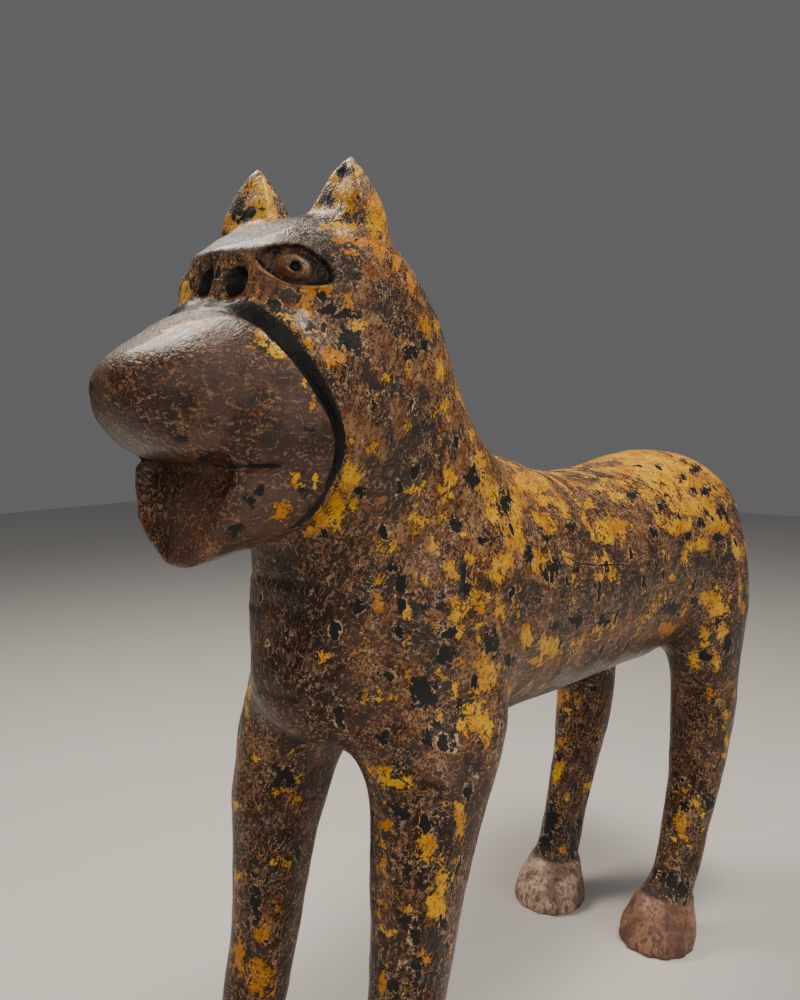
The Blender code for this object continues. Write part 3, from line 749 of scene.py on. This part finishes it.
def flute_hooves(points):
    """Hooves that stand proud of the ankles, with flutes and splits down their sides."""
    moved = points.copy()
    for hoof_x, hoof_y in (FORE_HOOF, HIND_HOOF):
        for side in (1, -1):
            dx, dy = points[:, 0] - side * hoof_x, points[:, 1] - hoof_y
            away = np.hypot(dx, dy) + 1e-9
            own = fade(away, 0.075, 0.085) * fade(points[:, 2], HOOF_TOP_Z - 0.002, HOOF_TOP_Z + 0.002)
            turn = np.arctan2(dy, dx)
            flutes = FLUTE_DEPTH * np.cos(FLUTES * turn) * fade(points[:, 2], 0.045, HOOF_TOP_Z)
            near = np.flatnonzero(own > 0)
            splits = np.zeros(len(points))
            for i in near:
                place = Vector((math.cos(turn[i]), math.sin(turn[i]), points[i, 2] * 2 + hoof_x + side))
                splits[i] = noise.noise(place * SPLIT_SCALE)
            out = own * fade(-away, -0.030, -0.015) * (HOOF_STEP + flutes + SPLIT_DEPTH * splits)
            moved[:, 0] += out * dx / away
            moved[:, 1] += out * dy / away
    return moved


def carved(points):
    """All the carving, in the order in which it is cut."""
    points = cut_channel(points)
    points = shape_brow(points)
    for side in (1, -1):
        points = carve_eye(points, side)
    points = edge_ears(points)
    points = cut_mouth(points)
    points = scoop_jaw(points)
    points = step_chest(points)
    return flute_hooves(points)


def set_points(mesh, points):
    """Writes the places of a mesh's vertices, given as shares."""
    mesh.vertices.foreach_set("co", sized(points).ravel())
    mesh.update()


def near_places(points, places):
    """Whether each point lies near one of some places, which are given for the left side."""
    points = np.abs(points * (1, 0, 0)) + points * (0, 1, 1)
    close = np.zeros(len(points), bool)
    for x, y, z, reach in places:
        close |= np.linalg.norm(points - np.array((x, y, z)), axis=1) < reach
    return close


def refine(mesh, close):
    """Faces half as long where both ends of an edge are close to the carving."""
    bm = bmesh.new()
    bm.from_mesh(mesh)
    edges = [e for e in bm.edges if close[e.verts[0].index] and close[e.verts[1].index]]
    bmesh.ops.subdivide_edges(bm, edges=edges, cuts=1, use_grid_fill=True)
    bm.to_mesh(mesh)
    bm.free()


def mark_adze(mesh):
    """The uneven surface that the adze leaves."""
    points = numbers(mesh.vertices, "co", 3)
    normals = numbers(mesh.vertices, "normal", 3)
    height = np.zeros(len(points))
    for width, rise in ADZE_MARKS:
        places = points / (width * HEIGHT)
        height += rise * HEIGHT * np.array([noise.noise(Vector(place)) for place in places])
    height *= fade(-points[:, 2], -0.02, -0.002)
    mesh.vertices.foreach_set("co", (points + normals * height[:, None]).ravel())
    mesh.update()


def flatten_soles(mesh, reach):
    """Sets the lowest points of the feet on the ground."""
    points = numbers(mesh.vertices, "co", 3)
    points[points[:, 2] < reach * HEIGHT, 2] = 0
    mesh.vertices.foreach_set("co", points.ravel())
    mesh.update()


def leopard_mesh():
    """The carved figure as one closed mesh."""
    mesh = after_modifier(rough_block(), "REMESH", mode="VOXEL", voxel_size=CELL * HEIGHT, adaptivity=0.0)
    edges = numbers(mesh.edges, "vertices", 2, np.int32)
    points = blend_joins(numbers(mesh.vertices, "co", 3) / HEIGHT, edges)
    set_points(mesh, points)
    channel = np.abs(channel_offset(points)) < FINE_CHANNEL_HALF
    channel &= points[:, 2] > CHANNEL_LOW_Z - FINE_CHANNEL_HALF
    refine(mesh, near_places(points, FINE_PLACES) | channel)
    refine(mesh, near_places(numbers(mesh.vertices, "co", 3) / HEIGHT, FINEST_PLACES))
    edges = numbers(mesh.edges, "vertices", 2, np.int32)
    points = numbers(mesh.vertices, "co", 3) / HEIGHT
    points = carved(smoothed(points, edges, EVEN_ROUNDS, np.full(len(points), 0.5)))
    set_points(mesh, points - (0, MIDDLE_Y, 0))
    mark_adze(mesh)
    flatten_soles(mesh, SOLE_SNAP)
    return mesh


def seen_from_camera(points):
    """How far right, how far up and how far away each point is, seen from the camera."""
    turn, dip = CAMERA_TURN, CAMERA_DIP
    right = np.array((math.cos(turn), math.sin(turn), 0))
    ahead = np.array((-math.sin(turn) * math.cos(dip), math.cos(turn) * math.cos(dip), -math.sin(dip)))
    offset = points - CAMERA
    far = offset @ ahead
    return offset @ right / far, offset @ np.cross(right, ahead) / far, far


def mark_field(points, marks):
    """How deep each point lies in the nearest mark: 1 at its middle, 0 on its edge, less outside."""
    mirrored = points * (-1, 1, 1) - (0, *REPEAT_SHIFT)
    field = np.full(len(points), -1.0)
    seen = [np.stack(seen_from_camera(each), axis=1) for each in (points, mirrored)]
    for x, y, z, wide, high in np.array(marks) * MARK_UNIT:
        right, up, far = (float(value[0]) for value in seen_from_camera(np.array([[x, y, z]])))
        for places in seen if x > REPEATED_FROM else seen[:1]:
            across = (places[:, 0] - right) * far / wide
            above = (places[:, 1] - up) * far / high
            behind = np.abs(places[:, 2] - far) / MARK_REACH
            field = np.maximum(field, 1 - np.sqrt(across**2 + above**2 + np.clip(behind - 1, 0, None) * 9))
    return field


def eye_masks(points):
    """The eyeball, the recess round it, painted near black as painted shade, the pupil, and the lower lid,
    with its painted highlight, for both eyes.
    """
    ball, recess, pupil, lid = (np.zeros(len(points)) for _ in range(4))
    for side in (1, -1):
        along, above, out, _ = eye_place(points, side)
        near = fade(np.abs(out), 0.020, 0.030)
        almond = eye_almond(along, above)
        oval = np.hypot(along / BALL_HALF_LENGTH, above / BALL_HALF_HEIGHT)
        ball = np.maximum(ball, near * fade(oval, 0.98, 1.12))
        # Painted shade fills the recess round the eyeball.
        recess = np.maximum(recess, near * fade(almond, 0.92, 1.12))
        pupil = np.maximum(pupil, near * fade(np.hypot(along, above), PUPIL_REACH * 0.8, PUPIL_REACH * 1.3))
        # Painted highlight along the ridge of the lower lid.
        lid = np.maximum(lid, near * bump((almond - LID_MIDDLE) / 0.15) * fade(above, -0.004, 0.004))
    return ball, recess * (1 - ball), pupil, lid


def region_masks(points):
    """How far each point belongs to each named region, from 0 to 1."""
    ahead = fade(channel_offset(points), *AHEAD_OF_CHANNEL)
    snout = ahead * within(points, "head")
    hoof = within(points, "hooves")
    channel = bump(channel_offset(points) / (CHANNEL_HALF * 1.15)) * within(points, "channel")
    ball, recess, pupil, lid = eye_masks(points)
    plain = ("brow", "ears", "chest", "legs", "under", "back", "rump")
    return {name: within(points, name) for name in plain} | {
        "muzzle": snout * within(points, "muzzle"),
        "face": snout * within(points, "face"),
        "jaw": np.maximum(scoop_strength(points), within(points, "jaw front")),
        "channel": fade(channel, 0.45, 0.15),
        "hollow": fade(hollow_strength(points), 0.50, 0.16),
        "hooves": hoof,
        "pink": hoof * within(points, "pink"),
        "ankles": within(points, "ankles") * (1 - hoof),
        "flank": bump((points[:, 2] - FLANK_Z) / FLANK_SPREAD) * within(points, "flank"),
        "neck": within(points, "neck") * (1 - ahead),
        # Painted shadow: a black line along the slit between the lips.
        "mouth": mouth_strength(points, MOUTH_SHADOW_HALF),
        "ball": ball,
        "recess": recess,
        "pupil": pupil,
        "lid": lid,
    }


def ground_colours(masks):
    """The colour under the patches and spots, for each point."""
    count = len(masks["muzzle"])
    ground = np.tile(np.array(BODY_BROWN), (count, 1))
    for region, colour in GROUND:
        weight = np.clip(masks[region], 0, 1)[:, None]
        ground = ground * (1 - weight) + np.array(colour) * weight
    return ground


def summed(masks, base, weights):
    """A base amount with a weight of each named region added to it."""
    return sum((weight * masks[name] for name, weight in weights.items()), base)


def plain_amount(masks):
    """Where no spots or patches are scattered, from 0 to 1."""
    return np.maximum.reduce([masks[name] for name in PLAIN_PARTS])


def yellow_amount(masks):
    """How much of the surface carries yellow paint, for each point."""
    amount = summed(masks, YELLOW, YELLOW_BY_REGION)
    amount = np.where(masks["ears"] > 0.5, YELLOW_ON_EARS, amount)
    return np.clip(amount, 0, 1) - 1.5 * plain_amount(masks)


def crumb_amount(masks):
    """How thickly small flakes of paint lie, for each point."""
    amount = summed(masks, CRUMBS, CRUMBS_BY_REGION)
    inner = summed(masks, 0, CRUMBS_ON_PLAIN_PARTS)
    return np.clip(np.where(plain_amount(masks) > 0.5, inner, amount), 0, 1)


def add_paint_attributes(mesh):
    """Writes the regions of the paint into the mesh, where the material reads them."""
    points = numbers(mesh.vertices, "co", 3) / HEIGHT + (0, MIDDLE_Y, 0)
    masks = region_masks(points)
    ground = mesh.color_attributes.new("ground", "FLOAT_COLOR", "POINT")
    colours = np.ones((len(points), 4))
    colours[:, :3] = ground_colours(masks)
    ground.data.foreach_set("color", colours.ravel())
    crack_y, crack_z = zip(*CRACK)
    past_ends = np.maximum(crack_y[0] - points[:, 1], points[:, 1] - crack_y[-1])
    crack = points[:, 2] - np.interp(points[:, 1], crack_y, crack_z) + np.where(points[:, 0] > 0, 0, 1)
    crack += np.sign(crack) * CRACK_TAPER * np.clip(past_ends, 0, None)
    yellow_marks = mark_field(points, YELLOW_MARKS + ORANGE_MARKS)
    values = {
        "yellow": yellow_amount(masks),
        "crumbs": crumb_amount(masks),
        "plain": plain_amount(masks),
        "yellow_marks": yellow_marks - 3 * (masks["ball"] + masks["recess"]),
        "orange_marks": mark_field(points, ORANGE_MARKS),
        "black_marks": mark_field(points, BLACK_MARKS),
        "smooth_marks": mark_field(points, SMOOTH_MARKS),
        "mauve_and_sheen_marks": mark_field(points, MAUVE_AND_SHEEN_MARKS),
        "hooves": masks["hooves"],
        "upright": np.clip(masks["legs"] + masks["chest"] + masks["neck"], 0, 1),
        # Black paint of the channel, hollows and pupils, and the painted shadow along the slit of the mouth.
        "black": np.clip(masks["channel"] + masks["hollow"] + masks["pupil"] + masks["mouth"], 0, 1),
        "crack": crack,
    }
    for name, value in values.items():
        attribute = mesh.attributes.new(name, "FLOAT", "POINT")
        attribute.data.foreach_set("value", value.astype(np.float32))


class Graph:
    """Short calls that add shader nodes and join them."""

    def __init__(self, material):
        material.use_nodes = True
        self.tree = material.node_tree
        self.shader = self.tree.nodes["Principled BSDF"]

    def put(self, socket, value):
        """Joins an output to a socket, or sets the socket to a plain value."""
        if isinstance(value, bpy.types.NodeSocket):
            self.tree.links.new(value, socket)
        elif isinstance(value, tuple) and len(value) == 3 and socket.type == "RGBA":
            socket.default_value = (*value, 1.0)
        else:
            socket.default_value = value

    def node(self, kind, inputs, output=0, **settings):
        """One new node with its settings and inputs, of which one output is given back."""
        made = self.tree.nodes.new("ShaderNode" + kind)
        for name, value in settings.items():
            setattr(made, name, value)
        for name, value in inputs.items():
            self.put(made.inputs[name], value)
        return made.outputs[output]

    def coordinates(self):
        return self.node("TexCoord", {}, "Object")

    def attribute(self, name, output="Fac"):
        return self.node("Attribute", {}, output, attribute_name=name)

    def math(self, operation, a, b=0.0):
        return self.node("Math", {0: a, 1: b}, operation=operation)

    def add(self, a, b):
        return self.math("ADD", a, b)

    def times(self, a, b):
        return self.math("MULTIPLY", a, b)

    def less(self, a, b):
        return self.math("SUBTRACT", a, b)

    def most(self, a, b):
        return self.math("MAXIMUM", a, b)

    def plus(self, a, b, share):
        """The first value and a share of the second."""
        return self.add(a, self.times(b, share))

    def vector(self, operation, a, b):
        return self.node("VectorMath", {0: a, 1: b}, operation=operation)

    def step(self, value, low, high):
        """0 below low and 1 above high, smooth between."""
        inputs = {"Value": value, "From Min": low, "From Max": high}
        return self.node("MapRange", inputs, "Result", interpolation_type="SMOOTHSTEP")

    def mix(self, factor, a, b):
        return self.node("Mix", {"Factor": factor, "A": a, "B": b}, "Result", data_type="RGBA")

    def noise(self, where, scale, detail=4.0, roughness=0.55, output="Fac"):
        inputs = {"Vector": where, "Scale": scale, "Detail": detail, "Roughness": roughness}
        return self.node("TexNoise", inputs, output)

    def cells(self, where, scale):
        return self.node("TexVoronoi", {"Vector": where, "Scale": scale}, "Distance")

    def moved(self, where, by):
        return self.vector("ADD", where, by)

    def stretched(self, where, by):
        return self.vector("MULTIPLY", where, by)

    def slanted(self, where):
        """Coordinates turned about the x axis, so that strokes along them lean back."""
        return self.node("VectorRotate", {"Vector": where, "Angle": SLANT}, rotation_type="X_AXIS")

    def jagged(self, where, scale, reach, detail=3.0):
        """Coordinates pushed about, so that edges drawn in them are ragged."""
        push = self.noise(where, scale, detail, output="Color")
        push = self.vector("SUBTRACT", push, (0.5, 0.5, 0.5))
        return self.moved(where, self.vector("MULTIPLY", push, (reach, reach, reach)))


def brown_ground(graph, place, ragged, fine, scratch):
    """The ground: clouds of brown, mauve parts that are partly a painted sheen, small flakes and smooth dark
    parts, all scratched.
    """
    ground = graph.attribute("ground", "Color")
    plain = graph.attribute("plain")
    busy = graph.less(1.0, plain)
    above_hooves = graph.less(1.0, graph.attribute("hooves"))
    clouds = graph.noise(ragged, 16, 5, 0.65)
    dark = graph.vector("MULTIPLY", ground, (0.50, 0.46, 0.44))
    light = graph.vector("MULTIPLY", ground, (1.45, 1.40, 1.35))
    colour = graph.mix(graph.step(clouds, 0.42, 0.60), dark, light)

    edge = graph.less(graph.noise(graph.moved(ragged, (2, 0, 5)), 42, 4, 0.65), 0.5)
    # Mauve patches, partly paint and partly a painted grey sheen of the varnish.
    mauve = graph.plus(graph.attribute("mauve_and_sheen_marks"), edge, 3.6)
    mauve = graph.most(mauve, graph.less(graph.times(edge, 6.0), 0.55))
    colour = graph.mix(graph.times(graph.step(mauve, -0.1, 0.3), 0.7), colour, MAUVE_AND_SHEEN)

    density = graph.noise(graph.moved(ragged, (0, 3, 1)), 24, 3, 0.6)
    grains = graph.noise(graph.moved(fine, (0, 5, 0)), 330, 3, 0.75)
    level = graph.plus(grains, graph.less(density, 0.5), 0.45)
    level = graph.plus(level, graph.attribute("crumbs"), 0.16)
    level = graph.plus(level, graph.less(scratch, 0.5), 0.40)
    flakes = graph.times(graph.step(level, 0.620, 0.655), 0.9)
    tint = graph.mix(graph.step(graph.noise(place, 75, 2), 0.40, 0.60), RUST, TAN)
    colour = graph.mix(flakes, colour, tint)

    smooth = graph.plus(graph.attribute("smooth_marks"), edge, 3.0)
    far_clouds = graph.less(graph.noise(graph.moved(place, (7, 0, 2)), 15, 4, 0.6), 0.57)
    smooth = graph.most(smooth, graph.times(far_clouds, 5.0))
    softly = graph.times(graph.step(smooth, -0.7, 0.9), plain)
    smooth = graph.times(graph.step(smooth, 0.0, 0.22), busy)
    smooth = graph.plus(graph.times(smooth, 0.88), softly, 0.6)
    smooth = graph.times(smooth, above_hooves)
    colour = graph.mix(smooth, colour, SMOOTH_BROWN)

    pale = graph.times(graph.step(scratch, 0.58, 0.63), 0.50)
    return graph.mix(graph.times(pale, above_hooves), colour, SCRATCH_TAN), clouds


def yellow_paint(graph, place, ragged, fine, scratch, colour):
    """Patches and crumbs of yellow, orange in places, pitted and freckled."""
    edge = graph.less(graph.noise(graph.moved(ragged, (0, 0, 7)), 120, 5, 0.75), 0.5)
    by_hand = graph.plus(graph.attribute("yellow_marks"), edge, 3.4)
    broad = graph.noise(graph.moved(ragged, (0, 8, 7)), 27, 5, 0.66)
    broad = graph.plus(broad, graph.attribute("yellow"), 0.27)
    scattered = graph.times(graph.less(broad, 0.655), 7.0)
    level = graph.most(by_hand, scattered)
    level = graph.plus(level, graph.less(scratch, 0.5), 1.4)
    covered = graph.step(level, 0.0, 0.06)
    pits = graph.noise(graph.moved(fine, (9, 0, 0)), 130, 3, 0.7)
    pits = graph.plus(pits, graph.math("MINIMUM", level, 1.0), -0.10)
    covered = graph.times(covered, graph.step(graph.times(pits, -1.0), -0.548, -0.524))
    paint = graph.mix(graph.step(graph.noise(place, 34, 4, 0.6), 0.38, 0.60), OCHRE_DEEP, OCHRE_LIGHT)
    orange = graph.plus(graph.attribute("orange_marks"), edge, 2.0)
    paint = graph.mix(graph.times(graph.step(orange, -0.3, 0.1), 0.75), paint, ORANGE)
    freckles = graph.step(graph.noise(graph.moved(fine, (0, 2, 1)), 320, 2, 0.7), 0.55, 0.63)
    paint = graph.mix(graph.times(freckles, 0.75), paint, FRECKLE_BROWN)
    return graph.mix(covered, colour, paint), level


def black_paint(graph, place, ragged, colour):
    """Black spots, listed and scattered, and the black of the channel, hollows and pupils."""
    edge = graph.less(graph.noise(graph.moved(ragged, (6, 1, 0)), 135, 4, 0.72), 0.5)
    by_hand = graph.plus(graph.attribute("black_marks"), edge, 4.4)
    by_hand = graph.less(by_hand, 0.04)
    cells = graph.cells(graph.jagged(graph.stretched(place, (1, 1.25, 0.8)), 80, 0.022, 2), 34)
    kept = graph.step(graph.noise(graph.moved(place, (4, 4, 0)), 21, 1), 0.50, 0.60)
    size = graph.less(graph.times(kept, 0.26), graph.attribute("plain"))
    scattered = graph.times(graph.less(size, cells), 3.5)
    # The black attribute also carries the painted shadow along the slit of the mouth.
    cut = graph.less(graph.times(graph.attribute("black"), 3.0), 1.5)
    cut = graph.plus(cut, edge, 4.0)
    crack = graph.less(CRACK_HALF, graph.math("ABSOLUTE", graph.attribute("crack")))
    crack = graph.plus(graph.times(crack, 400.0), edge, 1.5)
    cut = graph.most(cut, crack)
    level = graph.most(graph.most(by_hand, scattered), cut)
    black = graph.step(level, 0.0, 0.08)
    broken = graph.step(graph.noise(place, 150, 3, 0.6), 0.50, 0.56)
    rim = graph.times(graph.step(level, -0.22, -0.12), broken)
    rim = graph.times(rim, graph.less(1.0, graph.attribute("plain")))
    colour = graph.mix(graph.times(rim, 0.8), colour, BEIGE)
    return graph.mix(black, colour, BLACK), black


def painted_wood():
    """Worn paint in layers under varnish: brown ground, yellow patches, black spots and pale curls."""
    material = bpy.data.materials.new("painted wood")
    graph = Graph(material)
    place = graph.coordinates()
    ragged = graph.jagged(place, 85, 0.013, 3)
    fine = graph.jagged(place, 215, 0.0065, 1)
    upright = graph.attribute("upright")
    down = graph.noise(graph.stretched(graph.slanted(ragged), (360, 360, 40)), 1, 2, 0.6)
    along = graph.noise(graph.stretched(ragged, (360, 40, 360)), 1, 2, 0.6)
    scratch = graph.times(along, graph.less(1.0, upright))
    scratch = graph.add(graph.times(down, upright), scratch)

    colour, clouds = brown_ground(graph, place, ragged, fine, scratch)
    colour, level = yellow_paint(graph, place, ragged, fine, scratch, colour)
    colour, black = black_paint(graph, place, ragged, colour)

    # Fine curls of beige where flakes have lifted, thickest round the yellow.
    ripple = graph.noise(graph.moved(fine, (3, 0, 8)), 115, 2, 0.6)
    curl = graph.math("ABSOLUTE", graph.less(ripple, 0.5))
    near_yellow = graph.times(graph.step(level, -1.2, 0.0), 0.10)
    where = graph.add(graph.noise(graph.moved(place, (1, 1, 1)), 44, 2), near_yellow)
    curl = graph.step(graph.times(curl, -1.0), -0.016, -0.006)
    curl = graph.times(curl, graph.step(where, 0.50, 0.60))
    bare = graph.less(1.0, graph.most(black, graph.attribute("plain")))
    curl = graph.times(curl, bare)
    colour = graph.mix(graph.times(curl, 0.75), colour, BEIGE)

    # Hooves are streaked from top to bottom.
    streak = graph.step(graph.noise(graph.stretched(ragged, (230, 230, 24)), 1, 4, 0.65), 0.48, 0.64)
    hoof = graph.times(graph.attribute("hooves"), streak)
    colour = graph.mix(graph.times(hoof, 0.8), colour, HOOF_STREAK)
    graph.put(graph.shader.inputs["Base Color"], colour)

    # Thick paint stands up and scratches lie deeper.
    height = graph.times(graph.step(level, -0.1, 0.1), 0.45)
    height = graph.plus(height, scratch, 1.5)
    height = graph.plus(height, clouds, 0.9)
    relief = graph.node("Bump", {"Strength": 0.9, "Distance": 0.0013, "Height": height}, "Normal")
    graph.put(graph.shader.inputs["Normal"], relief)

    rough = graph.times(graph.step(clouds, 0.35, 0.70), 0.24)
    dull = graph.plus(graph.times(graph.attribute("hooves"), 0.2), black, 0.15)
    rough = graph.add(graph.add(rough, 0.28), dull)
    graph.put(graph.shader.inputs["Roughness"], rough)
    graph.shader.inputs["Specular IOR Level"].default_value = 0.20
    graph.shader.inputs["Coat Weight"].default_value = 0.11
    graph.shader.inputs["Coat Roughness"].default_value = 0.13
    return material


def statue():
    """The carved and painted figure, in the place of its solid."""
    mesh = leopard_mesh()
    mesh.name = "painted leopard"
    mesh.materials.clear()
    mesh.materials.append(painted_wood())
    add_paint_attributes(mesh)
    mesh.shade_smooth()
    piece = placed("painted_leopard", mesh)
    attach(piece, "root")
    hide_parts("leopard")


def pale_floor():
    """The even colour of the floor."""
    material = bpy.data.materials.new("pale floor")
    graph = Graph(material)
    graph.put(graph.shader.inputs["Base Color"], FLOOR_COLOUR)
    graph.shader.inputs["Roughness"].default_value = 0.7
    return material


def studio():
    """A pale floor, soft lamps and a grey surrounding."""
    mesh = bpy.data.meshes.new("floor")
    places = [(x * FLOOR_HALF, y * FLOOR_HALF, 0) for x, y in ((-1, -1), (1, -1), (1, 1), (-1, 1))]
    mesh.from_pydata(places, [], [range(len(places))])
    mesh.materials.append(pale_floor())
    floor = placed("floor", mesh)
    for name, place, target, size, power, colour in LAMPS:
        light = bpy.data.lights.new(name, "AREA")
        light.size = size
        light.energy = power
        light.color = colour
        lamp = placed(name, light)
        lamp.location = place
        lamp.rotation_euler = (Vector(target) - Vector(place)).to_track_quat("-Z", "Y").to_euler()
    world = bpy.data.worlds.new("studio")
    world.use_nodes = True
    world.node_tree.nodes["Background"].inputs["Color"].default_value = (0.42, 0.42, 0.43, 1)
    world.node_tree.nodes["Background"].inputs["Strength"].default_value = 0.30
    bpy.context.scene.world = world


def photo_camera():
    """The camera of the photograph."""
    camera = bpy.data.cameras.new("camera")
    camera.sensor_fit = "VERTICAL"
    camera.sensor_height = SENSOR
    camera.lens = LENS
    holder = placed("camera", camera)
    holder.location = sized((CAMERA[0], CAMERA[1] - MIDDLE_Y, CAMERA[2]))
    holder.rotation_euler = (math.pi / 2 - CAMERA_DIP, 0, CAMERA_TURN)
    bpy.context.scene.camera = holder


def corners(box):
    """A box as two plain lists."""
    return [list(corner) for corner in box]


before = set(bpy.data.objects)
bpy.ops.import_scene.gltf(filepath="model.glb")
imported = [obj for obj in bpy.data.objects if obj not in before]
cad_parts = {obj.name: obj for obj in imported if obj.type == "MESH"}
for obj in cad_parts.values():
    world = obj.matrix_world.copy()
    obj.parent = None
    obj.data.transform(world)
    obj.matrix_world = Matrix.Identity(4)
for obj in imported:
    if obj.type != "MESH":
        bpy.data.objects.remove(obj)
CAD_BOX = corners(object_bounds())
HEIGHT = CAD_BOX[1][2] / EAR_TIP
photo_camera()
studio()
statue()
